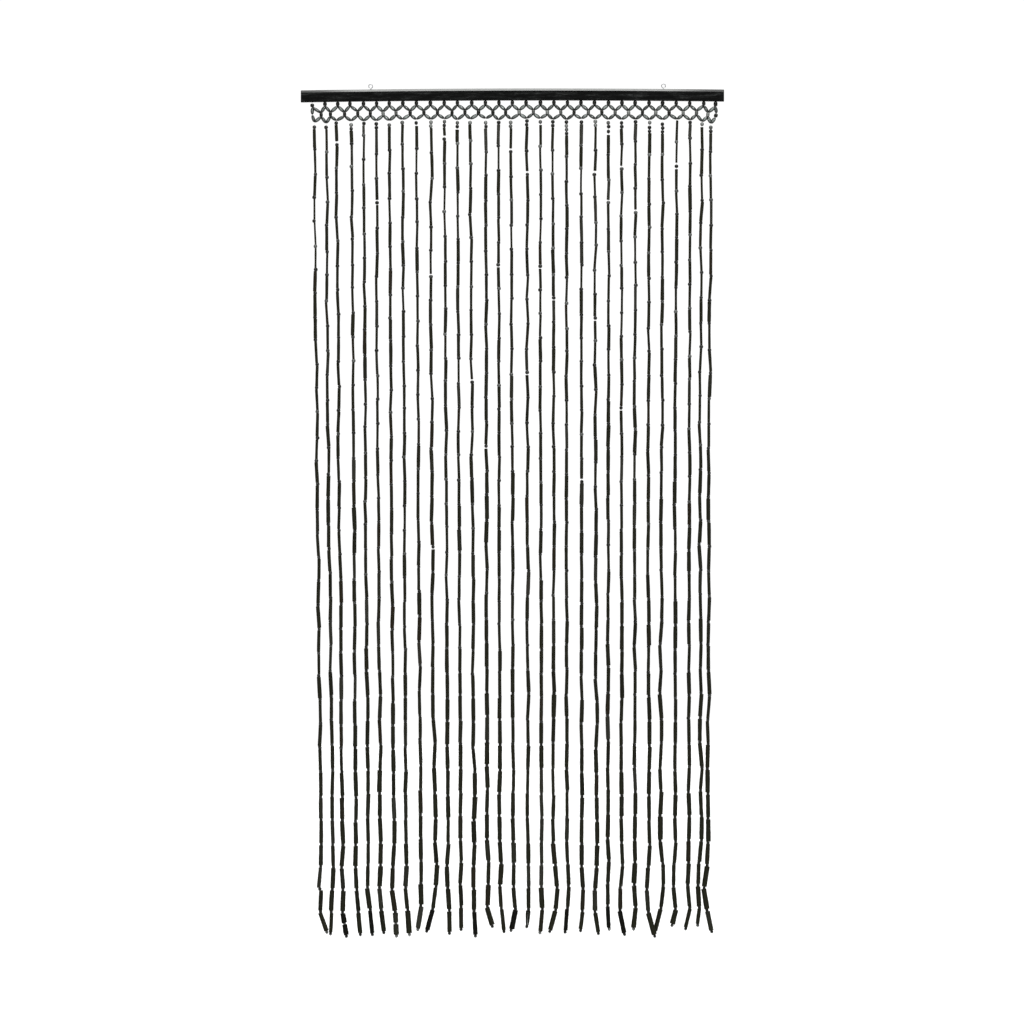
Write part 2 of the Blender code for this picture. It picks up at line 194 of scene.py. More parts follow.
# How full and how finely rounded each kind of bead is. A higher fullness makes it more drum-like.
Roundness = namedtuple("Roundness", "fullness steps")
TOP_ROUND = Roundness(2.4, 7)
JOINT_ROUND = Roundness(2.6, 7)
OVAL_ROUND = Roundness(2.1, 14)
SHORT_ROUND = Roundness(3.2, 10)
KNOT_ROUND = Roundness(2.0, 6)

# How grey a dark, medium or grey bead is, from 0 for black to 1 for a pale smoke-grey. The grey is painted
# only along the bead's front and back, as a painted highlight band that leaves the rims dark
SHADES = {"D": 0.0, "M": 0.4, "G": 0.85}

# One row for each strand, left to right, in millimetres. hang: where it hangs, from the rail's middle.
# top, mid, low: how far to the side of that its root, its middle and the place above its last tubes are.
# kick_4 to kick_1: sideways step of each of the last four tubes. last: length of the last one with its
# bead. drop: how much lower than the usual foot it ends. first: length of the first tube. fore: how far
# the foot comes forward, past a neighbour that it crosses. kink: w where the strand zigzags widely, else
# n. sway: how far the crossing to its right is off the middle. gap: bare thread above its first bead.
# head: its top beads downwards, dark, medium or grey, with a full stop for a stretch of bare thread.
# wide: width of its first tube. cross: shade of the crossing bead to its right. foot: shade of its foot
# bead.
Strand = namedtuple(
    "Strand",
    "hang top mid low kick_4 kick_3 kick_2 kick_1 last drop first fore kink sway gap"
    " head wide cross foot",
)
STRANDS = (
    Strand(-473, 5, 12, 21.5, -2, -2, 2, 17, 48, 0, 44, 14, "w", 4.7, 7.1, "D", 7.9, "D", "M"),
    Strand(-443, 3, 8, 19, 1.5, -3.5, -2, -1.5, 52, 5, 50, 0, "w", -2.5, 4.9, "D", 6.3, "D", "D"),
    Strand(-413, -3, 4, 13, -4, 4.5, -1.5, 9.5, 57, 11, 43, 0, "w", 1.4, 1.5, "D", 7.9, "D", "D"),
    Strand(-384, 3, 10, 14, -1, 3, 4, 5.5, 53.5, 7, 27, 0, "n", 2.3, 4.8, "GD", 8.7, "D", "D"),
    Strand(-352, 0.5, 5, 11.5, -0.5, -2, 7, 5.5, 59, 7, 20, 0, "n", 0.7, 1.5, "D", 6.5, "D", "D"),
    Strand(-321, -1, 4, 10, -0.5, -2.5, 4, 7, 54, 2.5, 54, 0, "w", 0, 3, "DD", 7.1, "G", "D"),
    Strand(-291, 0, 5, 12, -4, -2, 9, 2.5, 57.5, 10.5, 51, 0, "n", -0.5, 6.4, "M", 7.7, "M", "G"),
    Strand(-259, -1, 4, 7.5, 1.5, -2.5, 5, 4, 59, 7, 43, 0, "n", 0.9, 3.3, "M", 6.9, "D", "G"),
    Strand(-227, 0, 5, 10.5, 0.5, 0, 0, -8, 57, -5, 50, 0, "n", 0.8, 3.8, "D.", 7.5, "D", "G"),
    Strand(-194, 1.5, 3.5, 11.5, 4, -2.5, -8, -15, 53, -1, 55, 0, "w", 0.5, 2.3, "GG", 7.1, "D", "D"),
    Strand(-161, 0, 5, 9.5, -3.5, 2, 3.5, 0.5, 54.5, 4, 24, 0, "n", 3.2, 2.5, "MD", 6.7, "D", "D"),
    Strand(-130, 0, 4, 7.5, 1.5, -2.5, 2.5, -0.5, 54, -5, 29, 0, "n", 1.1, 3.1, "MD.", 8.7, "D", "D"),
    Strand(-96, -4, 1, 6.5, -2.5, 0.5, 1, 3, 59.5, 10.5, 34, 0, "w", 0.2, 4.4, "G", 7.9, "D", "D"),
    Strand(-64, 1, 3, 4.5, 3, -0.5, -2.5, 13, 47.5, -12.5, 52, 0, "n", 1.4, 5.8, "GD", 7.9, "D", "D"),
    Strand(-32, -1, 1, 2, 3.5, -3, 3.5, 6, 56, 0, 47, 0, "n", 0.1, 1.8, "D", 7.9, "D", "D"),
    Strand(0, -4, 0, 2, 1, 0, 4, -10.5, 51, -3, 52, 0, "n", -0.5, 3.6, "GM", 6.5, "G", "M"),
    Strand(32, 2, 4, 5.5, 0, 1, -1, -3.5, 40.5, -12, 54, 0, "w", 0.2, 1.5, "DD", 7.5, "M", "D"),
    Strand(66, 0, 1, 3, 0, -0.5, 2, -5.5, 56, 2.5, 47, 0, "n", 0, 3.9, "M.", 6.7, "G", "G"),
    Strand(98, -3, 0, -1.5, 5, 4.5, -4.5, -14.5, 51, -0.5, 50, 0, "n", -0.1, 1.5, "DD", 6.5, "M", "D"),
    Strand(130, -2, -2, -1.5, 2.5, 2, -3.5, -5, 57, 1, 46, 0, "n", 0.2, 1.5, "DGMD", 7.9, "D", "D"),
    Strand(162, 1, 1, 1.5, 0.5, 3.5, -2.5, -5, 46.5, -2.5, 47, 0, "n", 2.1, 3.9, "D", 8.7, "M", "D"),
    Strand(194, 2, 2, 6, -1, -4, 0.5, 8, 51.5, 4.5, 51, 0, "w", 0.6, 1.5, "GG", 5.9, "D", "D"),
    Strand(227, 0, 0, -1.5, 3, -3, 0, 3, 56, -6, 47, 0, "n", 0, 3.7, "MD.D", 8.1, "M", "G"),
    Strand(259, -1, -1, -1, 2.5, -6, -0.5, 11.5, 58, 6.5, 33, 0, "n", 0, 3.7, "DD", 7.7, "G", "D"),
    Strand(290, 1, -1, -0.5, 0, -2, 3.5, -5.5, 52.5, -6, 38, 0, "n", 1.2, 1.5, "D", 8.3, "D", "G"),
    Strand(323, 1, -2.5, 1.5, -3.5, -3.5, 3.5, 15.5, 57, 9.5, 47, 15.5, "n", 0.4, 2.6, "G.DD", 8.5, "G", "D"),
    Strand(355, 0, -2.5, -6, 6.5, 1, -6, -15, 57, 1, 45, 0, "w", -0.5, 6.5, "DDD", 7.9, "D", "D"),
    Strand(387, 2, -3.5, -1.5, -3.5, -1.5, 5, -9.5, 39, -15, 47, 0, "n", 0.5, 2.8, "", 6.3, "G", "M"),
    Strand(419, 1, -1, -2.5, -0.5, -1.5, 4.5, -11, 50.5, -7, 29, 0, "n", -0.2, 1.5, "D", 7.5, "M", "D"),
    Strand(452, -4, -10, -5.5, -6, -2, 3.5, -5, 42, -15, 50, 0, "w", -2.6, 1.5, "G.", 7.1, "G", "M"),
    Strand(480, -11, -15, -17.5, -2.5, -7.5, 8, 11, 51, 0, 40, 0, "w", 0, 4.8, "MD", 7.5, "D", "D"),
)
LAST = len(STRANDS) - 1

# By the number of the strand from the left: first tubes that are greyer than the rest, last tubes that
# are blacker, and strands that end in two short tubes instead of a long one
GREY_TUBES = (5, 14, 15, 21, 25, 29)
BLACK_ENDS = (3, 5, 10, 13, 16, 20, 23, 24)
PAIRED = (3, 7)

# Tone of a tube: 0 as most are, above it greyer, -1 black
GREY_TUBE = 0.5
CHANCE_GREY = 0.4
CHANCE_RARITY = 18
BLACK_TUBE = -1.0
BLACK_TUBE_GIRTH = 1.06

# Where the small bead between two short tubes starts and ends, and its width for the tubes' width
PAIR_BREAKS = (0.44, 0.52)
PAIR_BEAD = 0.6

# Joints where a tube has slipped off the line. joint: which one, from the foot. above, below: how far to
# the side the end of the tube above it and the top of the tube below it are, in millimetres.
Slip = namedtuple("Slip", "strand joint above below")
SLIPS = (Slip(1, 2, -3, 3),)

# Joints with bare thread. joint: which one, from the strand's top. above, below: length of the bare thread
# over and under the joint's bead, in millimetres.
Bare = namedtuple("Bare", "strand joint above below")
BARE_JOINTS = (
    Bare(3, 1, 4, 0),
    Bare(6, 3, 2.5, 1.5),
    Bare(10, 6, 2.2, 0),
    Bare(10, 17, 0, 2.5),
    Bare(11, 1, 4, 0),
    Bare(13, 11, 2.5, 0),
    Bare(14, 13, 0, 2.5),
    Bare(15, 6, 0, 2.2),
    Bare(16, 1, 3.5, 0),
    Bare(17, 2, 3.5, 0),
    Bare(17, 10, 0, 2.5),
    Bare(18, 6, 0, 2.2),
    Bare(19, 7, 0, 2.2),
    Bare(21, 15, 3, 0),
    Bare(22, 2, 4.5, 0),
    Bare(22, 8, 0, 3),
    Bare(23, 0, 0, 3.5),
    Bare(23, 3, 2.2, 0),
    Bare(24, 2, 3, 0),
    Bare(24, 12, 0, 2.5),
    Bare(25, 4, 3, 0),
    Bare(28, 2, 4, 3),
)

# View: the whole curtain straight on from far off
VIEW_WIDTH = 2421 * MM
VIEW_DISTANCE = 12
VIEW_SIDE = -1.0 * MM
VIEW_HEIGHT = -986.7 * MM
VIEW_CLIP = 100
SENSOR = 36
FLOOR_LEVEL = -2450 * MM
FLOOR_SIZE = 40

# Lights. The surroundings are brighter where they are seen than where they shine on the curtain. The
# energy of a sun is for each square metre, and a panel's power is in watts.
SEEN_WHITE = 1.05
LIT_WHITE = 0.2
Sun = namedtuple("Sun", "name energy spread_deg tilt_deg turn_deg")
SUNS = (
    Sun("ceiling_glow", 3.1, 50, 12, 0),
    Sun("key_glow", 1.6, 9, 62, 22),
)
Panel = namedtuple("Panel", "name place target size power")
PANELS = (
    Panel("over_the_rail", (0.05, -0.5, 1.3), (0.05, 0, 0), (1.0, 1.2), 40),
    Panel("front_fill", (-1.6, -3.2, 0.4), (0, 0, -1.0), (1.2, 2.0), 10),
)


def interpolate(pairs, at):
    """Value at a place on a line through (place, value) pairs, in rising order of place."""
    for (low, a), (high, b) in zip(pairs, pairs[1:]):
        if at <= high:
            return a + (b - a) * max(at - low, 0) / (high - low)
    return pairs[-1][1]


def near_one(rng, share):
    """A factor near 1, up to share above or below it."""
    return 1 + rng.uniform(-1, 1) * share


def rail_middle(x):
    """Height of the bowed rail's centre line."""
    share = 2 * x / RAIL_LENGTH
    return -RAIL_BOW * share * share + RAIL_TILT / 2 * share


def hang_between(a, b, run_a, run_b):
    """Lower point where two taut runs of beads meet that hang from a and b."""
    gap = b - a
    unit = gap.normalized()
    along = (run_a ** 2 - run_b ** 2 + gap.length ** 2) / (2 * gap.length)
    down = math.sqrt(max(run_a ** 2 - along ** 2, 0))
    return a + unit * along + Vector((unit.z, 0, -unit.x)) * down


def lattice_points():
    """Where the lattice's runs meet: under the hanging beads, round the crossing ones, and at its feet."""
    rng = random.Random(LATTICE_SEED)
    hung = []
    for n, row in enumerate(STRANDS):
        x = row.hang * MM
        length = END_HANG_LENGTH if n in (0, LAST) else HANG_LENGTH
        under = rail_middle(x) - RAIL_HEIGHT / 2 - length
        hung.append(Vector((x + rng.uniform(-1, 1) * HANG_SWAY, LAYER, under)))
    above = []
    below = []
    for a, b, row in zip(hung, hung[1:], STRANDS):
        above.append(hang_between(a, b, UPPER_RUN, UPPER_RUN) + Vector((row.sway * MM, 0, 0)))
        lean = rng.uniform(-1, 1) * CROSS_LEAN
        below.append(above[-1] + Vector((lean, 0, -CROSS_LENGTH)))
    feet = [hang_between(hung[0], below[0], LEFT_END_RUN, LOWER_RUN)]
    feet += [hang_between(a, b, LOWER_RUN, LOWER_RUN) for a, b in zip(below, below[1:])]
    feet.append(hang_between(below[-1], hung[-1], LOWER_RUN, RIGHT_END_RUN))
    for foot, row in zip(feet, STRANDS):
        foot.x = (row.hang + row.top) * MM
    return hung, above, below, feet


def strand_joints(n, root):
    """Points where strand n's tubes meet, from the top of its first tube to its foot, with their widths."""
    row = STRANDS[n]
    rng = random.Random(STRAND_SEED + n)
    hang = row.hang * MM
    kink = WIDE_KINK if row.kink == "w" else KINK
    bare = row.head.count(".")
    top = root.z - row.gap * MM - (len(row.head) - bare) * HEAD_PITCH - bare * BARE_GAP
    foot = FOOT_LEVEL - row.drop * MM
    ankle = foot + row.last * MM
    knee = ankle + (KICKS - 1) * KICK_RUN
    drift = ((-root.z, root.x), (-MID_LEVEL, hang + row.mid * MM), (-knee, hang + row.low * MM))
    second = top - row.first * MM - BEAD_PITCH
    count = round((second - knee) / TUBE_PITCH)
    heights = [top, second]
    for step in range(1, count):
        even = second + (knee - second) * step / count
        heights.append(even + rng.uniform(-1, 1) * TUBE_SPREAD)
    heights.append(knee)
    joints = []
    for place, z in enumerate(heights):
        loose = min(place / STEADY_JOINTS, 1) if z > knee else 0
        side = rng.uniform(-1, 1) * kink * loose
        depth = rng.uniform(-1, 1) * DEPTH_KINK * loose
        joints.append(Vector((interpolate(drift, -z) + side, LAYER + depth, z)))
    x = hang + row.low * MM
    for place, kick in enumerate((row.kick_4, row.kick_3, row.kick_2, row.kick_1), 1):
        x += kick * MM
        fore = row.fore * MM * (place / KICKS) ** 2
        z = foot if place == KICKS else knee - place * KICK_RUN
        joints.append(Vector((x, LAYER - fore, z)))
    widths = []
    for point in joints:
        share = (top - point.z) / (top - foot)
        widths.append(interpolate(TUBE_WIDTHS, share) * near_one(rng, WIDTH_SPREAD))
    return joints, widths


class Heap:
    """Many small meshes gathered into one object.

    Each vertex keeps two places. grain is where it lies on its own bead, for the pattern of the surface.
    mark holds three shares: chance, which differs from bead to bead, grey, and bare cut end. On beads the
    grey is painted as a highlight band along their front and back.
    """

    def __init__(self):
        self.points = []
        self.quads = []
        self.grains = []
        self.marks = []
        self.count = 0

    def add(self, points, quads, grain, marks):
        self.points.append(points)
        self.quads.append(quads + self.count)
        self.grains.append(grain)
        self.marks.append(marks)
        self.count += len(points)

    def finish(self, name, surface, slot, sharp_deg=38):
        data = bpy.data.meshes.new(name)
        data.from_pydata(np.concatenate(self.points).tolist(), [], np.concatenate(self.quads).tolist())
        for key, rows in (("grain", self.grains), ("mark", self.marks)):
            kept = data.attributes.new(key, "FLOAT_VECTOR", "POINT")
            kept.data.foreach_set("vector", np.concatenate(rows).astype(np.float32).ravel())
        data.shade_smooth()
        data.set_sharp_from_angle(angle=math.radians(sharp_deg))
        data.materials.append(surface)
        made = bpy.data.objects.new(name, data)
        bpy.context.scene.collection.objects.link(made)
        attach(made, "root")
        return made


def loop_quads(rings, sides):
    """Quads that join rings of as many vertices each, one after the other."""
    ring = np.arange(rings - 1)[:, None] * sides
    side = np.arange(sides)
    following = (side + 1) % sides
    corners = (ring + side, ring + following, ring + sides + following, ring + sides + side)
    return np.stack(corners, axis=-1).reshape(-1, 4)


def square_axes(along, roll=0.0):
    """Two directions square to one in or near the XZ plane, turned about it by roll."""
    side = along.cross(Vector((0, 1, 0))).normalized()
    other = along.cross(side)
    return side * math.cos(roll) + other * math.sin(roll), other * math.cos(roll) - side * math.sin(roll)


def turned(heap, start, end, profile, sides, rng, grey=0.0, bow=0.0, roll=0.0):
    """A turned piece from start to end. profile: (radius, height, slope of the ring, bare share)."""
    span = end - start
    along = span.normalized()
    across, ahead = square_axes(along, roll)
    rows = np.array(profile)
    angles = np.arange(sides) * 2 * math.pi / sides
    x = rows[:, :1] * np.cos(angles)
    y = rows[:, :1] * np.sin(angles)
    z = rows[:, 1:2] + rows[:, 2:3] * x
    x = x + bow * np.sin(math.pi * np.clip(z / span.length, 0, 1))
    local = np.stack((x, y, z), axis=-1).reshape(-1, 3)
    axes = np.array((across, ahead, along))
    chance = rng.random()
    marks = np.empty((len(local), 3))
    marks[:, 0] = chance
    marks[:, 1] = grey
    marks[:, 2] = np.repeat(rows[:, 3], sides)
    grain = local + np.array((0, 0, rng.uniform(0, PATTERN_SHIFT)))
    heap.add(local @ axes + np.array(start), loop_quads(len(rows), sides), grain, marks)


def tube(heap, start, end, width, rng, grey):
    """One bamboo tube with its wall, bore, softened lips and slightly slanting cuts."""
    length = (end - start).length
    radius = width / 2
    bore = radius * TUBE_BORE
    up = rng.uniform(-1, 1) * CUT_SLOPE
    down = rng.uniform(-1, 1) * CUT_SLOPE
    swell = [radius * near_one(rng, TUBE_SWELL) for _ in range(4)]
    second, third = (place * length for place in TUBE_SWELL_PLACES)
    profile = (
        (TIP_RADIUS, TUBE_BORE_DEPTH, 0, 1),
        (bore, TUBE_BORE_DEPTH, 0, 1),
        (bore, TUBE_LIP, up, 1),
        (bore + TUBE_LIP, 0, up, 1),
        (radius - TUBE_LIP, 0, up, 1),
        (swell[0], TUBE_LIP, up, TUBE_LIP_BARE),
        (swell[0], TUBE_END_RUN, 0, 0),
        (swell[1], second, 0, 0),
        (swell[2], third, 0, 0),
        (swell[3], length - TUBE_END_RUN, 0, 0),
        (swell[3], length - TUBE_LIP, down, TUBE_LIP_BARE),
        (radius - TUBE_LIP, length, down, 1),
        (bore + TUBE_LIP, length, down, 1),
        (bore, length - TUBE_LIP, down, 1),
        (bore, length - TUBE_BORE_DEPTH, 0, 1),
        (TIP_RADIUS, length - TUBE_BORE_DEPTH, 0, 1),
    )
    roll = rng.uniform(0, 2 * math.pi)
    turned(heap, start, end, profile, TUBE_SIDES, rng, grey, rng.uniform(-1, 1) * TUBE_BOW, roll)


def split_tube(heap, start, end, width, rng):
    """A tube whose front has split open from the foot up, so that its pale inside shows."""
    length = (end - start).length
    along = (end - start).normalized()
    across, ahead = square_axes(along)
    if ahead.y > 0:
        ahead = -ahead
    rings = []
    bare = []
    for share, taper, half_gap in SPLIT_STATIONS:
        angles = np.radians(np.linspace(half_gap, 360 - half_gap, TUBE_SIDES))
        outer = width / 2 * taper
        radii = np.concatenate((np.full(TUBE_SIDES, outer), np.full(TUBE_SIDES, outer - SPLIT_WALL)))
        turn = np.concatenate((angles, angles[::-1]))
        heights = np.full(2 * TUBE_SIDES, share * length)
        rings.append(np.stack((radii * np.sin(turn), radii * np.cos(turn), heights), axis=-1))
        bare.append(np.repeat((0, 1), TUBE_SIDES))
    local = np.concatenate(rings)
    marks = np.zeros((len(local), 3))
    marks[:, 0] = rng.random()
    marks[:, 2] = np.concatenate(bare)
    sides = 2 * TUBE_SIDES
    quads = loop_quads(len(rings), sides)
    caps = []
    for base in (0, (len(rings) - 1) * sides):
        for k in range(TUBE_SIDES - 1):
            caps.append((base + k, base + k + 1, base + sides - 2 - k, base + sides - 1 - k))
    axes = np.array((across, ahead, along))
    points = local @ axes + np.array(start)
    grain = local + np.array((0, 0, SPLIT_GRAIN))
    heap.add(points, np.concatenate((quads, np.array(caps))), grain, marks)


def round_profile(width, length, hole, roundness):
    """Profile of a bead with a hole through it."""
    radius = width / 2
    power = roundness.fullness
    low, high = BEAD_HOLE_ENDS
    rows = [(hole, low * length, 0, 1)]
    for step in range(roundness.steps + 1):
        turn = BEAD_CURVE_START + (1 - 2 * BEAD_CURVE_START) * step / roundness.steps
        t = math.cos(math.pi * turn)
        swell = (1 - abs(t) ** power) ** (1 / power)
        rows.append((max(radius * swell, hole), length / 2 * (1 - t), 0, 0))
    rows.append((hole, high * length, 0, 1))
    return rows


def bead(heap, start, end, width, rng, grey, roundness=TOP_ROUND):
    """A round bead that fills the way from start to end."""
    profile = round_profile(width, (end - start).length, BEAD_HOLE, roundness)
    turned(heap, start, end, profile, BEAD_SIDES, rng, grey)


def oval(heap, start, end, rng):
    """A long glossy spindle bead between two points, a little short of both."""
    span = end - start
    along = span.normalized()
    width = OVAL_WIDTH * near_one(rng, OVAL_SPREAD)
    aside = Vector((-along.z, 0, along.x)) * rng.uniform(-1, 1) * OVAL_SHIFT
    a = start + along * OVAL_TIP_GAP + aside
    b = end - along * OVAL_TIP_GAP + aside
    profile = round_profile(width, (b - a).length, BEAD_HOLE, OVAL_ROUND)
    turned(heap, a, b, profile, OVAL_SIDES, rng, rng.uniform(*OVAL_PAINTED_STREAK))


def short_bead(heap, start, end, width, tip_gap, rng, grey=0.0):
    """A short drum-shaped bead from start to end, short of both by tip_gap."""
    along = (end - start).normalized()
    a = start + along * tip_gap
    b = end - along * tip_gap
    width *= near_one(rng, SHORT_SPREAD)
    profile = round_profile(width, (b - a).length, BEAD_HOLE, SHORT_ROUND)
    turned(heap, a, b, profile, OVAL_SIDES, rng, grey)


def thread(heap, route):
    """A round thread along a route of points, closed at both ends."""
    rings = []
    grain = []
    run = 0.0
    angles = np.arange(THREAD_SIDES) * 2 * math.pi / THREAD_SIDES
    last = len(route) - 1
    full = THREAD_WIDTH / 2
    for k, point in enumerate(route):
        before = route[max(k - 1, 0)]
        after = route[min(k + 1, last)]
        across, ahead = square_axes((after - before).normalized())
        run += (point - before).length
        radii = [full]
        if k == 0:
            radii = [TIP_RADIUS, full]
        elif k == last:
            radii = [full, TIP_RADIUS]
        for radius in radii:
            ring = np.outer(np.cos(angles), across) + np.outer(np.sin(angles), ahead)
            rings.append(ring * radius + np.array(point))
            flat = (np.cos(angles) * radius, np.sin(angles) * radius, np.full(THREAD_SIDES, run))
            grain.append(np.stack(flat, axis=-1))
    points = np.concatenate(rings)
    quads = loop_quads(len(rings), THREAD_SIDES)
    heap.add(points, quads, np.concatenate(grain), np.zeros((len(points), 3)))


def shifted(point, rng, reach):
    """A point moved a little to the side and half as much in depth."""
    return point + Vector((rng.uniform(-1, 1) * reach, rng.uniform(-0.5, 0.5) * reach, 0))


def head_beads(row, place, rng, beads, route):
    """Round beads at a strand's top, from place downwards. Returns where the first tube starts."""
    for letter in row.head:
        if letter == ".":
            place = place + Vector((0, 0, -BARE_GAP))
            continue
        high = shifted(place, rng, BEAD_SHIFT) + Vector((0, 0, (TOP_BEAD_LENGTH - HEAD_PITCH) / 2))
        low = high + Vector((0, 0, -TOP_BEAD_LENGTH))
        width = TOP_BEAD_WIDTH * rng.uniform(*TOP_BEAD_SPREAD)
        bead(beads, high, low, width, rng, SHADES[letter])
        route.append((high + low) / 2)
        place = place + Vector((0, 0, -HEAD_PITCH))
    return place


def tube_ends(number, k, last, top, bottom, along):
    """Ends of tube k: reaching over the joint beads, or drawn back from a bare or slipped joint."""
    reach = along * interpolate(TUBE_REACH, k / last)
    if k > 0:
        top = top - reach
    if k < last:
        bottom = bottom + reach
    for spot in BARE_JOINTS:
        if spot.strand == number and spot.joint == k + 1:
            bottom = bottom - along * (spot.above * MM + BEAD_SEAT)
        if spot.strand == number and spot.joint == k:
            top = top + along * (spot.below * MM)
    for slip in SLIPS:
        if slip.strand == number and slip.joint == last - k:
            bottom = bottom + Vector((slip.above * MM, 0, 0))
        if slip.strand == number and slip.joint == last - k + 1:
            top = top + Vector((slip.below * MM, 0, 0))
    return top, bottom


def paired_tubes(tubes, beads, top, bottom, width, rng, grey):
    """Two short tubes with a small grey bead between them."""
    upper, lower = [top.lerp(bottom, share) for share in PAIR_BREAKS]
    tube(tubes, top, upper, width, rng, grey)
    bead(beads, upper, lower, width * PAIR_BEAD, rng, SHADES["G"])
    tube(tubes, lower, bottom, width, rng, grey)


def dress_strand(n, root, tubes, beads, threads):
    """Beads, tubes, thread and knot of one strand, along the line that its solid has."""
    row = STRANDS[n]
    number = n + 1
    rng = random.Random(BEAD_SEED + n)
    joints, widths = strand_joints(n, root)
    route = [root]
    joints[0] = head_beads(row, Vector((joints[0].x, LAYER, root.z - row.gap * MM)), rng, beads, route)
    last = len(joints) - 2
    for k, (a, b) in enumerate(zip(joints, joints[1:])):
        share = k / last
        along = (b - a).normalized()
        end = b - along * BEAD_PITCH
        width = row.wide * MM
        if k > 0:
            width = (widths[k] + widths[k + 1]) / 2 * near_one(rng, interpolate(TUBE_UNEVENNESS, share))
        if k == 0 and number in GREY_TUBES:
            tone = GREY_TUBE
        else:
            tone = rng.random() ** CHANCE_RARITY * CHANCE_GREY
        if k == last and number in BLACK_ENDS:
            tone = BLACK_TUBE
            width *= BLACK_TUBE_GIRTH
        top = shifted(a, rng, TUBE_SHIFT)
        bottom = shifted(end, rng, TUBE_SHIFT)
        top, bottom = tube_ends(number, k, last, top, bottom, along)
        if k == last and number == SPLIT_STRAND:
            split_tube(tubes, top, bottom, width, rng)
        elif k == last and number in PAIRED:
            paired_tubes(tubes, beads, top, bottom, width, rng, tone)
        else:
            tube(tubes, top, bottom, width, rng, tone)
        seat = along * BEAD_SEAT
        high = shifted(end, rng, BEAD_SHIFT)
        low = high + along * BEAD_PITCH
        if k == last:
            bead(beads, high - seat, low, FOOT_BEAD_WIDTH, rng, SHADES[row.foot])
        else:
            wide = interpolate(JOINT_BEAD_WIDTHS, share) * rng.uniform(*JOINT_BEAD_SPREAD)
            grey = rng.random() ** JOINT_BEAD_RARITY * (JOINT_BEAD_GREY - JOINT_BEAD_GREY * share)
            bead(beads, high - seat, low + seat, wide, rng, grey, JOINT_ROUND)
        route += [top, bottom, high, low]
    thread(threads, route)
    knot = route[-1]
    profile = round_profile(KNOT_WIDTH, KNOT_WIDTH, KNOT_HOLE, KNOT_ROUND)
    turned(threads, knot, knot + Vector((0, 0, -KNOT_WIDTH)), profile, BEAD_SIDES, rng)


def dress_lattice(hung, above, below, feet, ovals, shorts, threads):
    """The lattice's ovals, short beads and thread."""
    rng = random.Random(OVAL_SEED)
    for n, row in enumerate(STRANDS):
        x = row.hang * MM
        ceiling = Vector((x, LAYER, rail_middle(x) - RAIL_HEIGHT / 2))
        top = ceiling.lerp(hung[n], END_HANG_GAP / END_HANG_LENGTH) if n == 0 else ceiling
        short_bead(shorts, top, hung[n], HANG_WIDTH, HANG_TIP_GAP, rng)
        thread(threads, [ceiling, hung[n]])
    for n in range(LAST):
        upper = ((hung[n], above[n]), (hung[n + 1], above[n]))
        lower = ((below[n], feet[n]), (below[n], feet[n + 1]))
        for a, b in upper + lower:
            oval(ovals, a, b, rng)
            thread(threads, [a, b])
        short_bead(shorts, above[n], below[n], CROSS_WIDTH, CROSS_TIP_GAP, rng, SHADES[STRANDS[n].cross])
        thread(threads, [above[n], below[n]])
    bend = hung[0].lerp(feet[0], 0.5) - Vector((LEFT_END_BOW, 0, 0))
    for a, b in ((hung[0], bend), (bend, feet[0])):
        oval(ovals, a, b, rng)
    thread(threads, [hung[0], bend, feet[0]])
    aside = Vector((RIGHT_END_BOW, 0, 0))
    high, low = [hung[LAST].lerp(feet[LAST], share) + aside for share in RIGHT_END_BREAKS]
    oval(ovals, hung[LAST], high, rng)
    short_bead(shorts, high, low, HANG_WIDTH, HANG_TIP_GAP, rng)
    oval(ovals, low, feet[LAST], rng)
    thread(threads, [hung[LAST], high, low, feet[LAST]])


def eye_route(x, side):
    """Centre line of a screw eye: up the shank, then once round the ring. side is 1 or -1."""
    top = rail_middle(x) + RAIL_HEIGHT / 2
    centre = top + EYE_LIFT
    neck = centre - EYE_HALF_HEIGHT - EYE_NECK_DROP
    route = [(0, top - EYE_SHANK_DEPTH), (0, top), (0, neck - EYE_WIRE), (EYE_NECK_SIDE, neck)]
    for step in range(EYE_STEPS + 1):
        turn = math.radians(EYE_START_DEG + (EYE_END_DEG - EYE_START_DEG) * step / EYE_STEPS)
        route.append((EYE_HALF_WIDTH * math.cos(turn), centre + EYE_HALF_HEIGHT * math.sin(turn)))
    return [Vector((x + side * u, LAYER, z)) for u, z in route]


def dress_eye(name, node, x, side, surface):
    """A screw eye of round wire with a blunt rounded end and a small collar on the wood."""
    heap = Heap()
    route = eye_route(x, side)
    angles = np.arange(EYE_SIDES) * 2 * math.pi / EYE_SIDES
    rings = []
    grains = []
    last = len(route) - 1
    stations = [(k, 1.0) for k in range(last)] + [(last, share) for share in EYE_TIP_SHARES]
    for k, share in stations:
        before = route[max(k - 1, 0)]
        after = route[min(k + 1, last)]
        along = (after - before).normalized()
        across, ahead = square_axes(along)
        bulge = along * EYE_WIRE / 4 * math.sqrt(1 - share ** 2)
        ring = np.outer(np.cos(angles), across) + np.outer(np.sin(angles), ahead)
        rings.append(ring * EYE_WIRE / 2 * share + np.array(route[k] + bulge))
        run = np.full(EYE_SIDES, k * EYE_GRAIN_STEP)
        grains.append(np.stack((np.cos(angles) * EYE_WIRE, np.sin(angles) * EYE_WIRE, run), axis=-1))
    points = np.concatenate(rings)
    quads = loop_quads(len(rings), EYE_SIDES)
    heap.add(points, quads, np.concatenate(grains), np.zeros((len(points), 3)))
    top = Vector((x, LAYER, rail_middle(x) + RAIL_HEIGHT / 2))
    rows = [(radius, height, 0, 0) for radius, height in EYE_COLLAR_SECTION]
    turned(heap, top, top + Vector((0, 0, MM)), rows, EYE_SIDES, random.Random(OVAL_SEED))
    made = heap.finish(name, surface, "zinc_steel")
    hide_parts(node)


